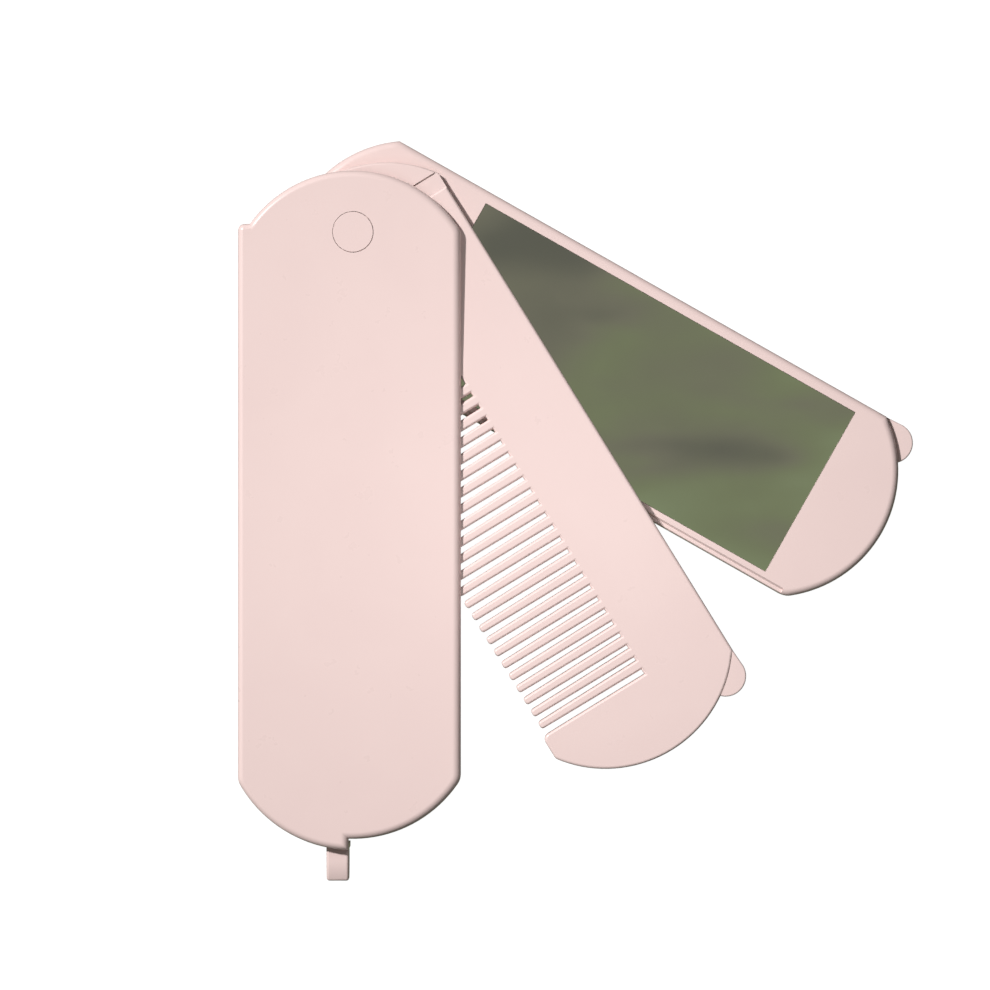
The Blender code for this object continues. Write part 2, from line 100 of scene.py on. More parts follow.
@dataclass(frozen=True)
class Wire:
    """Output socket of a node, on which Python's operators add Math nodes."""

    sheet: "NodeSheet"
    socket: bpy.types.NodeSocket

    def __add__(self, other: Number) -> "Wire":
        """Return the sum."""
        return self.sheet.math("ADD", self, other)

    def __radd__(self, other: float) -> "Wire":
        """Return the sum with a number on the left."""
        return self.sheet.math("ADD", other, self)

    def __sub__(self, other: Number) -> "Wire":
        """Return the difference."""
        return self.sheet.math("SUBTRACT", self, other)

    def __rsub__(self, other: float) -> "Wire":
        """Return the difference from a number on the left."""
        return self.sheet.math("SUBTRACT", other, self)

    def __mul__(self, other: Number) -> "Wire":
        """Return the product."""
        return self.sheet.math("MULTIPLY", self, other)

    def __rmul__(self, other: float) -> "Wire":
        """Return the product with a number on the left."""
        return self.sheet.math("MULTIPLY", other, self)


@dataclass(frozen=True)
class Grain:
    """Look of a noise: its waves to a metre, its finer layers and how far it is bent."""

    scale: float
    detail: float
    roughness: float = 0.5
    distortion: float = 0.0


class NodeSheet:
    """Node tree of one material or of the world, filled one node at a time."""

    def __init__(self, tree: bpy.types.NodeTree) -> None:
        """Keep the tree and clear it.

        Args:
            tree: the node tree of a material or of the world.
        """
        self.tree = tree
        tree.nodes.clear()

    def node(self, kind: str, settings: Optional[Mapping[str, object]] = None,
             sockets: Optional[Mapping[Union[str, int], object]] = None) -> bpy.types.Node:
        """Add a node, set it up, and then feed its sockets.

        Args:
            kind: the node's type.
            settings: properties of the node, and "stops" for a ramp's (place, colour) pairs.
            sockets: a value or a wire for each input, by its name or number.

        Returns:
            The new node.
        """
        node = self.tree.nodes.new(kind)
        for name, value in (settings or {}).items():
            if name == "stops":
                self._set_stops(node.color_ramp, value)
            else:
                setattr(node, name, value)
        for key, value in (sockets or {}).items():
            if isinstance(value, Wire):
                self.tree.links.new(value.socket, node.inputs[key])
            else:
                node.inputs[key].default_value = value
        return node

    @staticmethod
    def _set_stops(ramp: bpy.types.ColorRamp, stops: Sequence[tuple[float, Colour]]) -> None:
        """Give a colour ramp its stops.

        Args:
            ramp: the ramp, which starts with two stops.
            stops: place and colour of each stop, from left to right.
        """
        while len(ramp.elements) < len(stops):
            ramp.elements.new(1.0)
        for element, (place, colour) in zip(ramp.elements, stops):
            element.position = place
            element.color = (*colour, 1.0)

    def wire(self, node: bpy.types.Node, output: Union[str, int] = 0) -> Wire:
        """Return one output of a node as a wire."""
        return Wire(self, node.outputs[output])

    def math(self, operation: str, first: Number, second: Number) -> Wire:
        """Add a Math node.

        Args:
            operation: what the node works out.
            first: its first value.
            second: its second value.

        Returns:
            The result.
        """
        settings = {"operation": operation}
        return self.wire(self.node("ShaderNodeMath", settings, {0: first, 1: second}))

    def mix(self, factor: Wire, first: Paint, second: Paint) -> Wire:
        """Mix two colours.

        Args:
            factor: share of the second colour.
            first: a colour, or a wire that carries one.
            second: a colour, or a wire that carries one.

        Returns:
            The mixed colour.
        """
        settings = {"data_type": "RGBA", "clamp_factor": True}
        sockets = {MIX_FACTOR: factor, MIX_FIRST: self._rgba(first),
                   MIX_SECOND: self._rgba(second)}
        return self.wire(self.node("ShaderNodeMix", settings, sockets), MIX_RESULT)

    @staticmethod
    def _rgba(colour: Paint) -> object:
        """Return a colour with its fourth number, and a wire as it is."""
        return colour if isinstance(colour, Wire) else (*colour, 1.0)

    def noise(self, place: Wire, grain: Grain) -> Wire:
        """Add a Noise Texture.

        Args:
            place: where the noise is read.
            grain: how it looks.

        Returns:
            The noise, about 0.5 on average.
        """
        sockets = {"Vector": place, "Scale": grain.scale, "Detail": grain.detail,
                   "Roughness": grain.roughness, "Distortion": grain.distortion}
        return self.wire(self.node("ShaderNodeTexNoise", {}, sockets), "Fac")

    def span(self, value: Wire, low: float, high: float) -> Wire:
        """Spread part of a value's range over 0 to 1, with a smooth run between.

        Args:
            value: the value.
            low: where the result is 0.
            high: where it is 1.

        Returns:
            The result.
        """
        settings = {"interpolation_type": "SMOOTHSTEP"}
        sockets = {"Value": value, "From Min": low, "From Max": high}
        return self.wire(self.node("ShaderNodeMapRange", settings, sockets), "Result")


class Finish:
    """Material whose Principled shader is fed by a sheet of nodes."""

    def __init__(self, name: str, constants: Mapping[str, object]) -> None:
        """Make the material.

        Args:
            name: the material's name.
            constants: values of the shader's own sockets.
        """
        self.material = bpy.data.materials.new(name)
        self.material.use_nodes = True
        self.sheet = NodeSheet(self.material.node_tree)
        self.shader = self.sheet.node("ShaderNodeBsdfPrincipled", {}, constants)
        self.sheet.node("ShaderNodeOutputMaterial", {}, {"Surface": self.sheet.wire(self.shader)})

    def feed(self, socket: str, wire: Wire) -> None:
        """Link a wire to one of the shader's sockets."""
        self.material.node_tree.links.new(wire.socket, self.shader.inputs[socket])

    def place(self) -> Wire:
        """Return the point on the surface, in metres, in the piece's own frame."""
        return self.sheet.wire(self.sheet.node("ShaderNodeTexCoord"), "Object")

    def relief(self, height: Wire, depth: float) -> None:
        """Feed the normal with a relief.

        Args:
            height: the relief, from 0 to 1.
            depth: its real depth in metres.
        """
        sockets = {"Height": height, "Distance": depth, "Strength": 1.0}
        bump = self.sheet.node("ShaderNodeBump", {}, sockets)
        self.feed("Normal", self.sheet.wire(bump))


@dataclass(frozen=True)
class MouldedPlastic:
    """Satin moulded plastic: faint clouds in its colour, a fine orange peel, soft wear."""

    name: str
    colour: Colour
    cloud_colour: Colour
    ior: float = 1.47
    specular: float = 0.5
    roughness: float = 0.29
    wear: float = 0.1
    clouds: Grain = Grain(scale=38.0, detail=3.0, roughness=0.55, distortion=0.6)
    cloud_range: Range = (0.3, 0.7)
    rubbing: Grain = Grain(scale=228.0, detail=4.0, roughness=0.6)
    peel: Grain = Grain(scale=900.0, detail=1.0)
    peel_depth: float = 0.0035 * MM

    def make(self) -> bpy.types.Material:
        """Make the material.

        Returns:
            The material.
        """
        finish = Finish(self.name, {"IOR": self.ior, "Specular IOR Level": self.specular})
        sheet = finish.sheet
        place = finish.place()
        clouds = sheet.span(sheet.noise(place, self.clouds), *self.cloud_range)
        finish.feed("Base Color", sheet.mix(clouds, self.colour, self.cloud_colour))
        rubbed = sheet.noise(place, self.rubbing)
        finish.feed("Roughness", self.roughness - self.wear / 2 + self.wear * rubbed)
        finish.relief(sheet.noise(place, self.peel), self.peel_depth)
        return finish.material


@dataclass(frozen=True)
class SilveredGlass:
    """Mirror glass: silver behind a faintly green pane, with a thin haze in places."""

    name: str
    colour: Colour
    haze_colour: Colour
    roughness: float = 0.02
    haze_roughness: float = 0.02
    haze: Grain = Grain(scale=45.0, detail=3.0, roughness=0.6, distortion=0.4)
    haze_range: Range = (0.35, 0.75)

    def make(self) -> bpy.types.Material:
        """Make the material.

        Returns:
            The material.
        """
        finish = Finish(self.name, {"Metallic": 1.0})
        sheet = finish.sheet
        haze = sheet.span(sheet.noise(finish.place(), self.haze), *self.haze_range)
        finish.feed("Base Color", sheet.mix(haze, self.colour, self.haze_colour))
        finish.feed("Roughness", self.roughness + self.haze_roughness * haze)
        return finish.material


class Body(Enum):
    """Moving bodies of the frame."""

    COVER = "cover"
    COMB = "comb"
    MIRROR = "mirror"


class Join(Enum):
    """Ways in which one solid changes another."""

    CUT = "DIFFERENCE"
    ADD = "UNION"


def arc(centre: Point, radius: float, start: float, end: float) -> list[Point]:
    """Return points along an arc.

    Args:
        centre: the arc's centre.
        radius: its radius.
        start: the angle at which it starts, in degrees.
        end: the angle at which it ends, in degrees.

    Returns:
        The points, both ends among them.
    """
    steps = max(2, round(abs(end - start) / ARC_STEP_DEGREES))
    turns = [math.radians(start + (end - start) * step / steps) for step in range(steps + 1)]
    return [(centre[0] + radius * math.cos(turn), centre[1] + radius * math.sin(turn))
            for turn in turns]


def angle_at_x(radius: float, x: float) -> float:
    """Return the angle in degrees, 0 to 180, at which a circle about x = 0 reaches x."""
    return math.degrees(math.acos(x / radius))


def rounded(before: Point, corner: Point, after: Point, radius: float,
            steps: int = CORNER_STEPS) -> list[Point]:
    """Round the corner between two straight runs.

    Args:
        before: a point on the run that comes in.
        corner: the sharp corner.
        after: a point on the run that goes out.
        radius: the radius of the rounding.
        steps: the number of straight pieces that the rounding has.

    Returns:
        The points of the rounding.
    """
    here = Vector(corner)
    back = (Vector(before) - here).normalized()
    ahead = (Vector(after) - here).normalized()
    half = back.angle(ahead) / 2
    centre = here + (back + ahead).normalized() * radius / math.sin(half)
    first = here + back * radius / math.tan(half) - centre
    last = here + ahead * radius / math.tan(half) - centre
    start = math.atan2(first.y, first.x)
    turn = (math.atan2(last.y, last.x) - start + math.pi) % math.tau - math.pi
    angles = [start + turn * step / steps for step in range(steps + 1)]
    return [(centre.x + radius * math.cos(a), centre.y + radius * math.sin(a)) for a in angles]


def box_outline(left: float, right: float, bottom: float, top: float) -> list[Point]:
    """Return the four corners of a rectangle in XY."""
    return [(left, bottom), (right, bottom), (right, top), (left, top)]


def mesh_ready() -> bpy.types.Depsgraph:
    """Return the scene's evaluated state, brought up to date."""
    bpy.context.view_layer.update()
    return bpy.context.evaluated_depsgraph_get()


class Solid:
    """Closed solid that is rounded, cut and joined before it becomes a piece."""

    def __init__(self, name: str, bm: bmesh.types.BMesh) -> None:
        """Keep the name and the mesh that is being modelled.

        Args:
            name: the solid's name.
            bm: its closed mesh.
        """
        self.name = name
        self.bm = bm
        self.parts: list[tuple[Join, "Solid"]] = []
        self.fillet = (0.0, 1)

    @classmethod
    def drawn(cls, name: str, outline: Sequence[Sequence[float]],
              along: Sequence[float]) -> "Solid":
        """Draw a closed outline out along a vector.

        Args:
            name: the solid's name.
            outline: the (x, y, z) points of the outline, which is flat.
            along: how far and in which direction it is drawn out.

        Returns:
            The solid.
        """
        bm = bmesh.new()
        face = bm.faces.new([bm.verts.new(point) for point in outline])
        grown = bmesh.ops.extrude_face_region(bm, geom=[face])
        moved = [item for item in grown["geom"] if isinstance(item, bmesh.types.BMVert)]
        bmesh.ops.translate(bm, vec=along, verts=moved)
        return cls(name, bm)

    @classmethod
    def prism(cls, name: str, outline: Sequence[Point], bottom: float, top: float) -> "Solid":
        """Return the solid that an outline in XY gives between two heights."""
        return cls.drawn(name, [(x, y, bottom) for x, y in outline], (0, 0, top - bottom))

    @classmethod
    def turned(cls, name: str, profile: Sequence[Point]) -> "Solid":
        """Spin a profile round Z.

        Args:
            name: the solid's name.
            profile: its (radius, z) points.

        Returns:
            The solid.
        """
        bm = bmesh.new()
        verts = [bm.verts.new((radius, 0, z)) for radius, z in profile]
        edges = [bm.edges.new(pair) for pair in zip(verts, verts[1:])]
        bmesh.ops.spin(bm, geom=verts + edges, cent=(0, 0, 0), axis=(0, 0, 1),
                       angle=math.tau, steps=TURNED_STEPS)
        bmesh.ops.remove_doubles(bm, verts=bm.verts, dist=TINY)
        return cls(name, bm)

    @classmethod
    def bore(cls, name: str, steps: Sequence[tuple[float, float, float]]) -> "Solid":
        """Stack round steps upwards into one solid.

        Args:
            name: the solid's name.
            steps: the (radius, bottom, top) of each step, from below.

        Returns:
            The solid.
        """
        profile = [(0.0, steps[0][1])]
        for radius, bottom, top in steps:
            profile += [(radius, bottom), (radius, top)]
        return cls.turned(name, profile + [(0.0, steps[-1][2])])

    def round_rims(self, width: float, segments: int, middle: float, upper: Share,
                   lower: float) -> "Solid":
        """Round the rims of a solid that was drawn upwards.

        Args:
            width: the full width of the rounding.
            segments: how many faces the rounding has across.
            middle: a height between the lower and the upper rim.
            upper: gives the share of the full width at (x, y) on the upper rim.
            lower: the share of the full width on the whole lower rim.

        Returns:
            The solid itself.
        """
        self.fillet = (width, segments)
        weight = self.bm.edges.layers.float.new("bevel_weight_edge")
        for edge in self.bm.edges:
            first, second = (vert.co for vert in edge.verts)
            upright = (first.xy - second.xy).length < TINY
            if upright or edge.calc_face_angle(0) < math.radians(SMOOTH_DEGREES):
                continue
            half_way = (first + second) / 2
            is_upper = half_way.z > middle
            edge[weight] = upper(half_way.x, half_way.y) if is_upper else lower
        return self

    def round_edges(self, width: float, segments: int,
                    chosen: Callable[[bmesh.types.BMEdge], bool]) -> "Solid":
        """Round the chosen edges straight away.

        Args:
            width: the width of the rounding.
            segments: how many faces it has across.
            chosen: says whether an edge is rounded.

        Returns:
            The solid itself.
        """
        edges = [edge for edge in self.bm.edges if chosen(edge)]
        bmesh.ops.bevel(self.bm, geom=edges, offset=width, segments=segments, profile=0.5,
                        affect="EDGES")
        return self

    def join(self, how: Join, other: "Solid") -> "Solid":
        """Cut another solid out of this one, or add it, and return this one."""
        self.parts.append((how, other))
        return self

    def made(self) -> bpy.types.Object:
        """Round, cut and join the solid.

        Returns:
            An object with the finished mesh and no modifiers.
        """
        bmesh.ops.recalc_face_normals(self.bm, faces=self.bm.faces)
        mesh = bpy.data.meshes.new(self.name)
        self.bm.to_mesh(mesh)
        self.bm.free()
        obj = bpy.data.objects.new(self.name, mesh)
        bpy.context.scene.collection.objects.link(obj)
        width, segments = self.fillet
        if width:
            bevel = obj.modifiers.new("Rims", "BEVEL")
            bevel.limit_method = "WEIGHT"
            bevel.width = width
            bevel.segments = segments
            bevel.miter_outer = "MITER_SHARP"
            bevel.use_clamp_overlap = False
        others = []
        for how, other in self.parts:
            others.append(other.made())
            boolean = obj.modifiers.new(other.name, "BOOLEAN")
            boolean.operation = how.value
            boolean.solver = "EXACT"
            boolean.object = others[-1]
        final = bpy.data.meshes.new_from_object(obj.evaluated_get(mesh_ready()))
        obj.modifiers.clear()
        obj.data = final
        for other_object in others:
            bpy.data.objects.remove(other_object)
        return obj

    @staticmethod
    def _merge_flats(mesh: bpy.types.Mesh) -> None:
        """Unfold slivers and merge faces that lie in one plane, so that flat sides have no seam.

        Args:
            mesh: the mesh that is changed.
        """
        bm = bmesh.new()
        bm.from_mesh(mesh)
        folds = [edge for edge in bm.edges
                 if edge.calc_face_angle(0) > math.radians(180 - FLAT_DEGREES)]
        bmesh.ops.dissolve_edges(bm, edges=folds, use_verts=False)
        bmesh.ops.dissolve_limit(bm, angle_limit=math.radians(FLAT_DEGREES), verts=bm.verts,
                                 edges=bm.edges)
        bm.to_mesh(mesh)
        bm.free()

    def become_piece(self, body: Body, node: str, material: bpy.types.Material,
                     turn: float = 0.0) -> bpy.types.Object:
        """Turn the solid into a piece that stands for a node of the frame.

        Args:
            body: the body that it rides on.
            node: the node that it stands for, which is hidden from view.
            material: what it is made of.
            turn: the angle about the pivot at which it stands open, in degrees.

        Returns:
            The piece.
        """
        piece = self.made()
        mesh = piece.data
        self._merge_flats(mesh)
        mesh.transform(Matrix.Rotation(math.radians(turn), 4, "Z"))
        mesh.materials.clear()
        mesh.materials.append(material)
        mesh.shade_smooth()
        mesh.set_sharp_from_angle(angle=math.radians(SMOOTH_DEGREES))
        weighted = piece.modifiers.new("Even shading", "WEIGHTED_NORMAL")
        weighted.keep_sharp = True
        weighted.weight = LARGE_FACE_WEIGHT
        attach(piece, body.value)
        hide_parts(node)
        log.info("%s: %d faces, rides on %s", piece.name, len(mesh.polygons), body.value)
        return piece


@dataclass(frozen=True)
class Stack:
    """Heights of the leaves, from the back upwards, and the angles at which they stand."""

    mirror_top: float
    comb_bottom: float
    comb_top: float
    cover_bottom: float
    case_top: float
    comb_turn: float
    mirror_turn: float

    @classmethod
    def from_frame(cls) -> "Stack":
        """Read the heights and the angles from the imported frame.

        Returns:
            The stack.
        """
        mirror_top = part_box("mirror_frame")[1].z
        comb_low, comb_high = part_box("comb")
        closed = {joint["child"]: -joint["range_deg"][0] for joint in frame["joints"]}
        return cls(mirror_top=mirror_top, comb_bottom=comb_low.z, comb_top=comb_high.z,
                   cover_bottom=comb_high.z + comb_low.z - mirror_top,
                   case_top=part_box("cover")[1].z, comb_turn=closed["comb"],
                   mirror_turn=closed["mirror"])


@dataclass(frozen=True)
class PivotPin:
    """Pin with a flush head at the front and at the back of the case."""

    stack: Stack
    head_radius: float = 3.56 * MM
    shaft_radius: float = 2.0 * MM
    head_height: float = 0.5 * MM
    edge_round: float = 0.06 * MM
    ring_gap: float = 0.09 * MM
    fit_gap: float = 0.25 * MM

    def build(self, material: bpy.types.Material) -> None:
        """Build the pin with softened head edges.

        Args:
            material: what it is made of.
        """
        top = self.stack.case_top
        lower = [(0.0, 0.0), (self.head_radius - self.edge_round, 0.0),
                 (self.head_radius, self.edge_round), (self.head_radius, self.head_height),
                 (self.shaft_radius, self.head_height)]
        upper = [(radius, top - z) for radius, z in reversed(lower)]
        Solid.turned("flush_pin", lower + upper).become_piece(Body.COVER, "pivot_pin", material)

    def front_seat(self) -> Solid:
        """Make the cutter of the cover's hole and of its seat for the front head.

        Returns:
            The cutter.
        """
        top = self.stack.case_top
        ledge = top - self.head_height - self.fit_gap
        return Solid.bore("front_seat", [(self.shaft_radius + self.fit_gap, 0.0, ledge),
                                         (self.head_radius + self.ring_gap, ledge, top + BEYOND)])

    def back_seat(self) -> Solid:
        """Make the cutter of the mirror leaf's hole and of its seat for the back head.

        Returns:
            The cutter.
        """
        ledge = self.head_height + self.fit_gap
        above = self.stack.case_top + BEYOND
        return Solid.bore("back_seat", [(self.head_radius + self.ring_gap, -BEYOND, ledge),
                                        (self.shaft_radius + self.fit_gap, ledge, above)])


@dataclass(frozen=True)
class Lug:
    """Block at the wall's end that thins towards its end, with an eye across it."""

    right: float = -0.85 * MM
    width: float = 4.0 * MM
    top: float = 6.2 * MM
    bottom: float = 2.2 * MM
    root: float = -108.9 * MM
    shoulder: float = -111.5 * MM
    end: float = -115.3 * MM
    crown_radius: float = 9.0 * MM
    end_round: float = 0.55 * MM
    edge: float = 0.5 * MM
    edge_segments: int = 5
    eye_radius: float = 1.1 * MM
    eye_y: float = -112.5 * MM

    def side(self) -> list[Point]:
        """Draw the lug from its side.

        Returns:
            The outline in YZ, from the root over the crown and back underneath.
        """
        middle = (self.top + self.bottom) / 2
        sweep = math.degrees(math.asin((self.shoulder - self.end) / self.crown_radius))
        crown = arc((self.shoulder, self.top - self.crown_radius), self.crown_radius, 90,
                    90 + sweep)
        upper = [(self.root, self.top)] + crown[:-1]
        upper += rounded(crown[-2], crown[-1], (self.end, middle), self.end_round)
        return upper + [(y, 2 * middle - z) for y, z in reversed(upper)]

    def solid(self) -> Solid:
        """Model the lug with its eye and its softened sides.

        Returns:
            The solid, whose root lies inside the wall.
        """
        left = self.right - self.width
        lug = Solid.drawn("lug", [(left, y, z) for y, z in self.side()], (self.width, 0, 0))

        def is_side_rim(edge: bmesh.types.BMEdge) -> bool:
            """Tell whether an edge goes round one of the lug's two sides."""
            first, second = (vert.co for vert in edge.verts)
            return min(first.y, second.y) < self.root - TINY and abs(first.x - second.x) < TINY

        lug.round_edges(self.edge, self.edge_segments, is_side_rim)
        eye = arc((self.eye_y, (self.top + self.bottom) / 2), self.eye_radius, 0, 360)[:-1]
        across = [(left - BEYOND, y, z) for y, z in eye]
        return lug.join(Join.CUT, Solid.drawn("eye", across, (self.width + 2 * BEYOND, 0, 0)))


@dataclass(frozen=True)
class Cover:
    """Case: the front plate, the wall round its closed side, and the lug."""

    stack: Stack
    pin: PivotPin
    lug: Lug
    right: float = 19.13 * MM
    left: float = -20.42 * MM
    top_centre: float = -11.5 * MM
    top_radius: float = 22.45 * MM
    end_centre: float = -85.0 * MM
    end_radius: float = 22.57 * MM
    wall_top: float = 1.5 * MM
    wall_end_centre: float = -86.4 * MM
    wall_end_radius: float = 23.16 * MM
    wall_end_x: float = -0.8 * MM
    inner_x: float = -18.8 * MM
    inner_end_centre: float = -85.7 * MM
    inner_end_radius: float = 22.95 * MM
    side_corner: float = 3.2 * MM
    step_corner: float = 1.2 * MM
    fillet: float = 1.5 * MM
    wall_share: float = 0.7
    segments: int = 9

    def outline(self) -> list[Point]:
        """Draw the case from the front.

        Returns:
            The outline, wall included.
        """
        step_angle = math.degrees(math.asin((self.wall_top - self.top_centre) / self.top_radius))
        top_arc = arc((0, self.top_centre), self.top_radius,
                      angle_at_x(self.top_radius, self.right), 180 - step_angle)
        wall_arc = arc((0, self.wall_end_centre), self.wall_end_radius,
                       360 - angle_at_x(self.wall_end_radius, self.left),
                       360 - angle_at_x(self.wall_end_radius, self.wall_end_x))
        end_arc = arc((0, self.end_centre), self.end_radius,
                      360 - angle_at_x(self.end_radius, self.wall_end_x),
                      360 - angle_at_x(self.end_radius, self.right))
        step = (self.left, self.wall_top)
        points = rounded(end_arc[-1], top_arc[0], top_arc[1], self.side_corner)
        points += top_arc[1:]
        points += rounded(top_arc[-1], step, wall_arc[0], self.step_corner)
        points += rounded(step, wall_arc[0], wall_arc[1], self.side_corner)
        points += wall_arc[1:] + end_arc[:-1]
        return points + rounded(end_arc[-2], end_arc[-1], top_arc[0], self.side_corner)

    def hollow(self) -> Solid:
        """Make the cutter of the space that the case leaves to the folded leaves.

        Returns:
            The cutter.
        """
        points = arc((0, self.inner_end_centre), self.inner_end_radius,
                     360 - angle_at_x(self.inner_end_radius, self.inner_x),
                     360 - angle_at_x(self.inner_end_radius, self.wall_end_x))
        far_y = self.lug.end - BEYOND
        points += [(self.wall_end_x, far_y), (self.right + BEYOND, far_y),
                   (self.right + BEYOND, BEYOND), (self.inner_x, BEYOND)]
        return Solid.prism("hollow", points, -BEYOND, self.stack.cover_bottom)

    def share(self, x: float, y: float) -> float:
        """Return the share of the rounding, full on the open side and less on the wall's."""
        across = (x - self.left) / (self.right - self.left)
        return self.wall_share + (1 - self.wall_share) * across

    def build(self, material: bpy.types.Material) -> None:
        """Build the moulding.

        Args:
            material: what it is made of.
        """
        top = self.stack.case_top
        cover = Solid.prism("case_cover", self.outline(), 0, top)
        cover.round_rims(self.fillet, self.segments, top / 2, self.share, 0.0)
        cover.join(Join.CUT, self.hollow()).join(Join.ADD, self.lug.solid())
        cover.join(Join.CUT, self.pin.front_seat())
        cover.become_piece(Body.COVER, "cover", material)


@dataclass(frozen=True)
class LeafShape:
    """Outline that the two leaves share, closed along -Y with the spine at +X."""

    end_centre: float
    half_width: float = 18.45 * MM
    top_centre: float = -11.4 * MM
    top_radius: float = 22.3 * MM
    end_radius: float = 22.6 * MM
    tab_x: float = 14.95 * MM
    tab_drop: float = 16.4 * MM
    tab_root_drop: float = 12.6 * MM
    tab_root_x: float = 9.0 * MM
    tab_radius: float = 3.65 * MM
    tab_sweep: float = 140.0
    tab_inset: float = 0.04 * MM
    tab_edge: float = 0.3 * MM
    tab_segments: int = 4

    def top_arc(self) -> list[Point]:
        """Return the arc over the hub, from the spine side to the teeth side."""
        right = angle_at_x(self.top_radius, self.half_width)
        return arc((0, self.top_centre), self.top_radius, right, 180 - right)

    def end_arc(self) -> list[Point]:
        """Return the arc round the far end, from the teeth side to the spine side."""
        right = angle_at_x(self.end_radius, self.half_width)
        return arc((0, self.end_centre), self.end_radius, 180 + right, 360 - right)

    def tab(self, name: str, bottom: float, top: float) -> Solid:
        """Return the thumb tab at the spine's end.

        Args:
            name: the tab's name.
            bottom: height of its underside.
            top: height of its upper side.

        Returns:
            The tab, rooted inside the leaf.
        """
        centre_y = self.end_centre - self.tab_drop
        root_y = self.end_centre - self.tab_root_drop
        outline = [(self.tab_root_x, root_y), (self.half_width - self.tab_inset, root_y)]
        outline += arc((self.tab_x, centre_y), self.tab_radius, 0, -self.tab_sweep)
        outline.append((self.tab_root_x, centre_y))

        def is_free_rim(edge: bmesh.types.BMEdge) -> bool:
            """Tell whether an edge is level and lies outside the leaf."""
            first, second = (vert.co for vert in edge.verts)
            return (min(first.x, second.x) > self.tab_root_x + TINY
                    and abs(first.z - second.z) < TINY)

        block = Solid.prism(name, outline, bottom, top)
        return block.round_edges(self.tab_edge, self.tab_segments, is_free_rim)


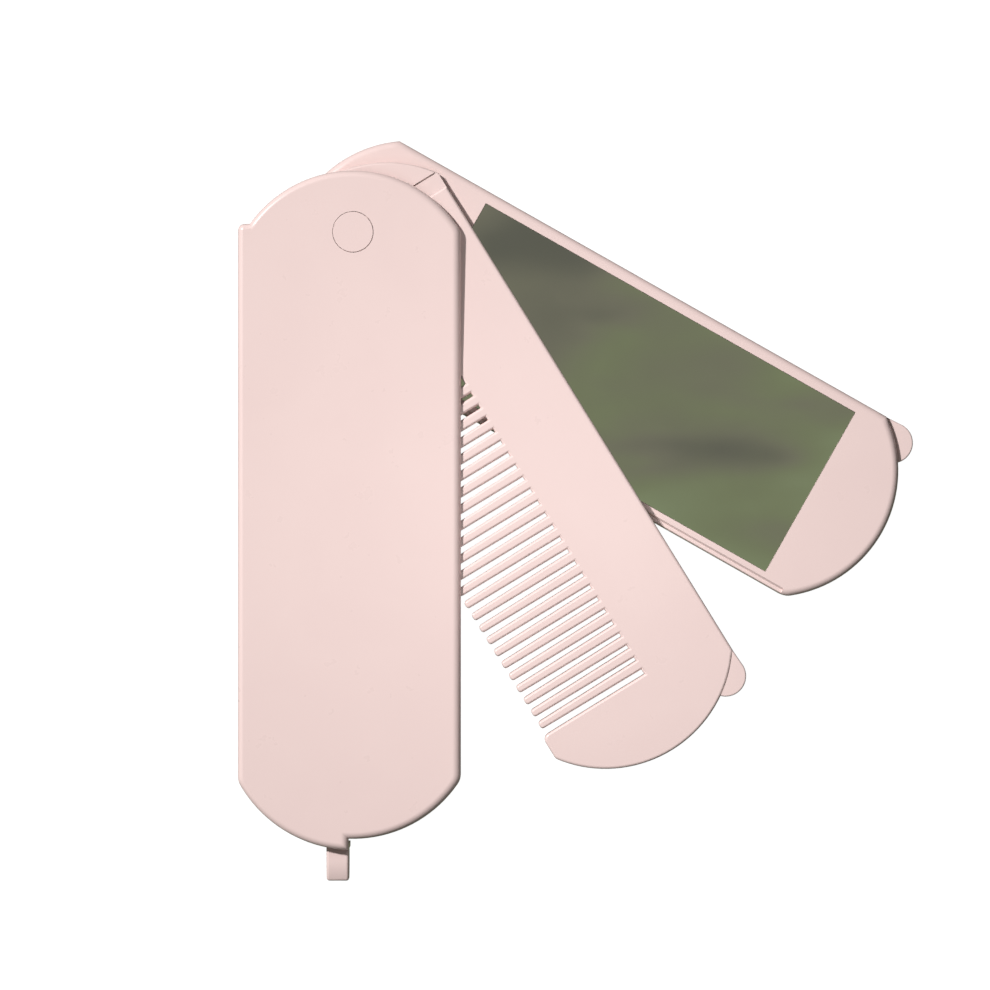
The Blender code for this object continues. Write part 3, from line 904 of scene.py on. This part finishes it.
@dataclass(frozen=True)
class CombLeaf:
    """Comb leaf: a block at each end, the teeth between, and a thin stepped hub."""

    stack: Stack
    shape: LeafShape
    pin: PivotPin
    tooth_count: int = 24
    pitch: float = 2.508 * MM
    first_tooth: float = -34.25 * MM
    root_x: float = 2.85 * MM
    tip_x: float = -17.8 * MM
    root_width: float = 1.8 * MM
    tip_width: float = 1.42 * MM
    tip_round: float = 0.5 * MM
    tip_steps: int = 3
    hub_block_end: float = -31.8 * MM
    end_block_start: float = -93.85 * MM
    block_corner: float = 1.2 * MM
    slight_corner_steps: int = 2
    hub_drop: float = 1.0 * MM
    ramp_start: float = -1.9 * MM
    ramp_end: float = -30.0 * MM
    slot_start: float = 1.6 * MM
    slot_end: float = -1.65 * MM
    slot_depth: float = 0.28 * MM
    disc_radius: float = 9.0 * MM
    tab_step: float = 0.3 * MM
    fillet: float = 0.55 * MM
    tooth_share: float = 0.8
    tooth_share_top: float = -28.0 * MM
    tooth_share_bottom: float = -96.5 * MM
    underside_share: float = 0.3
    segments: int = 5

    def tooth(self, middle: float) -> list[Point]:
        """Draw one tooth.

        Args:
            middle: the y of its middle line.

        Returns:
            Its outline, from the upper side of the root round the tip.
        """
        root, tip = self.root_width / 2, self.tip_width / 2
        root_upper, root_lower = (self.root_x, middle + root), (self.root_x, middle - root)
        tip_upper, tip_lower = (self.tip_x, middle + tip), (self.tip_x, middle - tip)
        points = [root_upper]
        points += rounded(root_upper, tip_upper, tip_lower, self.tip_round, self.tip_steps)
        points += rounded(tip_upper, tip_lower, root_lower, self.tip_round, self.tip_steps)
        return points + [root_lower]

    def outline(self) -> list[Point]:
        """Draw the comb.

        Returns:
            The outline, teeth included.
        """
        side = -self.shape.half_width
        hub_corner, hub_root = (side, self.hub_block_end), (self.root_x, self.hub_block_end)
        end_root, end_corner = (self.root_x, self.end_block_start), (side, self.end_block_start)
        end_arc = self.shape.end_arc()
        points = self.shape.top_arc() + [(side, self.tooth_share_top)]
        points += rounded(points[-1], hub_corner, hub_root, self.block_corner) + [hub_root]
        for index in range(self.tooth_count):
            points += self.tooth(self.first_tooth - index * self.pitch)
        points += [end_root] + rounded(end_root, end_corner, end_arc[0], self.block_corner)
        points.append((side, self.tooth_share_bottom))
        points += rounded(end_corner, end_arc[0], end_arc[1], self.block_corner,
                          self.slight_corner_steps)
        return points + end_arc[1:]

    def share(self, x: float, y: float) -> float:
        """Return the share of the rounding, which is less on the teeth and around them."""
        among_teeth = self.tooth_share_bottom < y < self.tooth_share_top
        return self.tooth_share if among_teeth and x < self.root_x + TINY else 1.0

    def lower_hub(self, comb: Solid) -> None:
        """Lower the upper side of the hub, with a long ramp up to the teeth.

        Args:
            comb: the comb before its rims are rounded.
        """
        bm = comb.bm
        for y in (self.ramp_start, self.ramp_end):
            bmesh.ops.bisect_plane(bm, geom=bm.verts[:] + bm.edges[:] + bm.faces[:],
                                   plane_co=(0, y, 0), plane_no=(0, 1, 0))
        middle = (self.stack.comb_bottom + self.stack.comb_top) / 2
        for vert in bm.verts:
            if vert.co.z > middle:
                along = (vert.co.y - self.ramp_end) / (self.ramp_start - self.ramp_end)
                vert.co.z -= self.hub_drop * min(1.0, max(0.0, along))

    def slot(self) -> Solid:
        """Make the cutter of the shallow slot across the hub, whose far side slopes.

        Returns:
            The cutter.
        """
        floor = self.stack.comb_top - self.hub_drop - self.slot_depth
        above = self.stack.comb_top + BEYOND
        slope_end = self.slot_end - self.hub_drop
        side = [(self.slot_start, above), (self.slot_start, floor), (self.slot_end, floor),
                (slope_end, floor + self.hub_drop), (slope_end, above)]
        return Solid.drawn("hub_slot", [(-BEYOND, y, z) for y, z in side], (2 * BEYOND, 0, 0))

    def build(self, material: bpy.types.Material) -> None:
        """Build the comb.

        Args:
            material: what it is made of.
        """
        low, high = self.stack.comb_bottom, self.stack.comb_top
        bore = self.pin.shaft_radius + self.pin.fit_gap
        comb = Solid.prism("comb_leaf", self.outline(), low, high)
        self.lower_hub(comb)
        comb.round_rims(self.fillet, self.segments, low + self.fillet, self.share,
                        self.underside_share)
        comb.join(Join.CUT, self.slot())
        comb.join(Join.ADD, Solid.bore("hub_disc", [(self.disc_radius, low + self.tab_step, high)]))
        tab = self.shape.tab("comb_tab", low + self.tab_step, high - self.tab_step)
        comb.join(Join.ADD, tab)
        comb.join(Join.CUT, Solid.bore("comb_bore", [(bore, low - BEYOND, high + BEYOND)]))
        comb.become_piece(Body.COMB, "comb", material, self.stack.comb_turn)


@dataclass(frozen=True)
class MirrorLeaf:
    """Mirror leaf: the frame with its ledge and tab, and the pane let into its face."""

    stack: Stack
    shape: LeafShape
    pin: PivotPin
    glass_half_width: float = 16.3 * MM
    glass_top: float = -17.8 * MM
    glass_bottom: float = -93.5 * MM
    glass_thickness: float = 1.6 * MM
    glass_gap: float = 0.03 * MM
    glass_rise: float = 0.02 * MM
    glass_arris: float = 0.06 * MM
    arris_segments: int = 3
    pocket_gap: float = 0.25 * MM
    ledge_start: float = -17.3 * MM
    ledge_foot: float = -17.66 * MM
    ledge_depth: float = 0.5 * MM
    ledge_round: float = 0.3 * MM
    ledge_step_degrees: float = 15.0
    ledge_steps: int = 6
    ledge_margin: float = 1.0 * MM
    ledge_top: float = -4.0 * MM
    ledge_bottom: float = -97.8 * MM
    side_corner: float = 3.0 * MM
    tab_lift: float = 0.3 * MM
    tab_step: float = 1.7 * MM
    fillet: float = 1.3 * MM
    side_share: float = 0.1
    side_share_top: float = -1.0 * MM
    side_share_bottom: float = -96.5 * MM
    segments: int = 9

    def outline(self) -> list[Point]:
        """Draw the mirror leaf.

        Returns:
            The outline, with the far corner of the teeth side rounded.
        """
        half = self.shape.half_width
        top_arc, end_arc = self.shape.top_arc(), self.shape.end_arc()
        down = [(-half, self.side_share_top), (-half, self.side_share_bottom)]
        up = [(half, self.side_share_bottom), (half, self.side_share_top)]
        corner = rounded(top_arc[-1], end_arc[0], end_arc[1], self.side_corner)
        return top_arc + down + corner + end_arc[1:] + up

    def share(self, x: float, y: float) -> float:
        """Return the share of the rounding, which is less along the straight sides."""
        along = self.side_share_bottom < y < self.side_share_top
        return self.side_share if along and abs(x) > self.shape.half_width - TINY else 1.0

    def ledge(self) -> Solid:
        """Make the cutter of the sloped step and of the ledge along the teeth side.

        Returns:
            The cutter.
        """
        top = self.stack.mirror_top
        floor = top - self.ledge_depth
        side = -self.shape.half_width
        over = self.ledge_margin
        slope = (self.ledge_start - self.ledge_foot) / self.ledge_depth
        turns = [math.radians(step * self.ledge_step_degrees) for step in range(self.ledge_steps)]
        brink = [(side + self.ledge_round * (1 - math.sin(turn)),
                  floor - self.ledge_round * (1 - math.cos(turn))) for turn in turns]
        profile = [(self.ledge_start + slope * over, top + over), (self.ledge_foot, floor)] + brink
        profile += [(side - over, brink[-1][1] - over), (side - over, top + over)]
        run = self.ledge_top - self.ledge_bottom
        return Solid.drawn("ledge", [(x, self.ledge_bottom, z) for x, z in profile], (0, run, 0))

    def build(self, plastic: bpy.types.Material, silver: bpy.types.Material) -> None:
        """Build the frame and the pane.

        Args:
            plastic: what the frame is made of.
            silver: what the pane is made of.
        """
        top = self.stack.mirror_top
        gap = self.glass_gap
        half = self.glass_half_width
        leaf = Solid.prism("mirror_back", self.outline(), 0, top)
        leaf.round_rims(self.fillet, self.segments, top / 2, self.share, self.side_share)
        leaf.join(Join.CUT, Solid.prism(
            "pocket", box_outline(-half - gap, half + gap, self.glass_bottom - gap,
                                  self.glass_top + gap),
            top - self.glass_thickness - self.pocket_gap, top + BEYOND))
        leaf.join(Join.CUT, self.ledge())
        leaf.join(Join.ADD, self.shape.tab("mirror_tab", self.tab_lift, top - self.tab_step))
        leaf.join(Join.CUT, self.pin.back_seat())
        leaf.become_piece(Body.MIRROR, "mirror_frame", plastic, self.stack.mirror_turn)
        pane = Solid.prism(
            "mirror_pane", box_outline(-half, half, self.glass_bottom, self.glass_top),
            top - self.glass_thickness, top - self.glass_rise)
        pane.round_rims(self.glass_arris, self.arris_segments, top - self.glass_thickness / 2,
                        lambda x, y: 1.0, 1.0)
        pane.become_piece(Body.MIRROR, "mirror_glass", silver, self.stack.mirror_turn)


@dataclass(frozen=True)
class Studio:
    """Floor, lights, surroundings and camera."""

    case_top: float
    view_centre: Point = (25.15 * MM, -46.58 * MM)
    view_width: float = 175.23 * MM
    camera_distance: float = 620.0 * MM
    sensor: float = 36.0
    clip_start: float = 10.0 * MM
    floor_radius: float = 3.0
    floor_drop: float = 0.2 * MM
    floor_colour: Colour = (0.1, 0.1, 0.1)
    floor_roughness: float = 0.9
    floor_glow: float = 1.0
    key_aim: Point = (36.0 * MM, -48.0 * MM)
    key_angle: float = 45.0
    key_heading: Point = (0.81, -0.59)
    key_distance: float = 2.0
    key_power: float = 176.0
    key_radius: float = 60.0 * MM
    key_cone: float = 30.0
    lamp_height: float = 80.0 * MM
    lamp_size: float = 60.0 * MM
    lamp_power: float = 0.0168
    sky_strength: float = 0.115
    ground: Colour = (0.02, 0.02, 0.018)
    horizon: Range = (-0.05, 0.45)
    garden_grain: Grain = Grain(scale=1.0, detail=3.0, roughness=0.45, distortion=0.3)
    garden_stretch: tuple[float, float, float] = (13.0, 38.0, 7.0)
    garden_shift: tuple[float, float, float] = (0.41, -0.92, 0.0)
    garden_slope: float = 1.4
    garden_level: float = 0.04
    garden_stops: tuple[tuple[float, Colour], ...] = (
        (0.33, (0.12, 0.118, 0.097)), (0.44, (0.178, 0.17, 0.13)),
        (0.54, (0.187, 0.208, 0.122)), (0.68, (0.235, 0.275, 0.165)))

    def build(self) -> None:
        """Build the whole studio."""
        self._camera()
        self._floor()
        self._key_light()
        self._lamp()
        self._surroundings()
        view = bpy.context.scene.view_settings
        view.view_transform = "Standard"
        view.look = "None"

    def _camera(self) -> None:
        """Place the camera straight above, at the photograph's distance."""
        data = bpy.data.cameras.new("camera")
        data.sensor_width = self.sensor
        data.lens = self.sensor * self.camera_distance / self.view_width
        data.clip_start = self.clip_start
        camera = bpy.data.objects.new("camera", data)
        bpy.context.scene.collection.objects.link(camera)
        camera.location = (*self.view_centre, self.case_top + self.camera_distance)
        bpy.context.scene.camera = camera

    def _floor(self) -> None:
        """Lay a white, evenly lit table under the object."""
        bm = bmesh.new()
        bmesh.ops.create_circle(bm, cap_ends=True, radius=self.floor_radius,
                                segments=TURNED_STEPS)
        mesh = bpy.data.meshes.new("floor")
        bm.to_mesh(mesh)
        bm.free()
        floor = bpy.data.objects.new("floor", mesh)
        bpy.context.scene.collection.objects.link(floor)
        floor.location = (0, 0, -self.floor_drop)
        constants = {"Base Color": (*self.floor_colour, 1.0), "Roughness": self.floor_roughness,
                     "Emission Color": (*WHITE, 1.0), "Emission Strength": self.floor_glow}
        mesh.materials.append(Finish("white_table", constants).material)
        floor.visible_glossy = False
        floor.visible_diffuse = False

    @staticmethod
    def _light(data: bpy.types.Light, place: Vector, aim: Vector) -> bpy.types.Object:
        """Hang a light and turn it towards a point.

        Args:
            data: the light.
            place: where it hangs.
            aim: the point that it shines on.

        Returns:
            The light's object.
        """
        light = bpy.data.objects.new(data.name, data)
        bpy.context.scene.collection.objects.link(light)
        light.location = place
        light.rotation_euler = (aim - place).to_track_quat("-Z", "Y").to_euler()
        light.visible_camera = False
        return light

    def _key_light(self) -> None:
        """Hang the key light, whose crisp shadows fall to the right and a little down."""
        data = bpy.data.lights.new("key_light", "SPOT")
        data.energy = self.key_power
        data.shadow_soft_size = self.key_radius
        data.spot_size = math.radians(self.key_cone)
        data.spot_blend = 1.0
        tilt = math.radians(self.key_angle)
        along = Vector(self.key_heading).normalized() * math.sin(tilt)
        aim = Vector((*self.key_aim, self.case_top))
        back = Vector((-along.x, -along.y, math.cos(tilt)))
        self._light(data, aim + back * self.key_distance, aim)

    def _lamp(self) -> None:
        """Hang a small soft lamp over the comb, whose light falls off towards the case's end."""
        data = bpy.data.lights.new("overhead_lamp", "AREA")
        data.shape = "DISK"
        data.size = self.lamp_size
        data.energy = self.lamp_power
        aim = Vector((*self.key_aim, self.case_top))
        lamp = self._light(data, aim + Vector((0, 0, self.lamp_height)), aim)
        lamp.visible_glossy = False

    def _surroundings(self) -> None:
        """Set a soft sky over a dark ground, and the garden green that glossy surfaces show."""
        world = bpy.data.worlds.new("surroundings")
        bpy.context.scene.world = world
        world.use_nodes = True
        sheet = NodeSheet(world.node_tree)
        direction = sheet.wire(sheet.node("ShaderNodeTexCoord"), "Generated")
        path = sheet.node("ShaderNodeLightPath")
        axes = sheet.node("ShaderNodeSeparateXYZ", {}, {0: direction})
        height, ahead = sheet.wire(axes, "Z"), sheet.wire(axes, "Y")
        stretch = sheet.node("ShaderNodeVectorMath", {"operation": "MULTIPLY_ADD"},
                             {0: direction, 1: self.garden_stretch, 2: self.garden_shift})
        streaks = sheet.noise(sheet.wire(stretch), self.garden_grain)
        leaves = streaks - self.garden_slope * (ahead - self.garden_level)
        ramp = sheet.node("ShaderNodeValToRGB", {"stops": self.garden_stops}, {0: leaves})
        sky = (self.sky_strength,) * 3
        dome = sheet.mix(sheet.span(height, *self.horizon), self.ground, sky)
        soft = sheet.mix(sheet.wire(path, "Is Glossy Ray"), dome, sheet.wire(ramp))
        seen = sheet.mix(sheet.wire(path, "Is Camera Ray"), soft, WHITE)
        background = sheet.node("ShaderNodeBackground", {}, {"Color": seen, "Strength": 1.0})
        sheet.node("ShaderNodeOutputWorld", {}, {"Surface": sheet.wire(background)})


def main() -> None:
    """Build the studio and every piece."""
    logging.basicConfig(level=logging.INFO, format="%(name)s: %(message)s")
    stack = Stack.from_frame()
    Studio(stack.case_top).build()
    pink = MouldedPlastic("pink_plastic", PINK, CLOUDED_PINK).make()
    silver = SilveredGlass("silvered_glass", SILVER, HAZED_SILVER).make()
    pin = PivotPin(stack)
    pin.build(pink)
    Cover(stack, pin, Lug()).build(pink)
    CombLeaf(stack, LeafShape(COMB_END_CENTRE), pin).build(pink)
    MirrorLeaf(stack, LeafShape(MIRROR_END_CENTRE), pin).build(pink, silver)


if __name__ == "__main__":
    main()
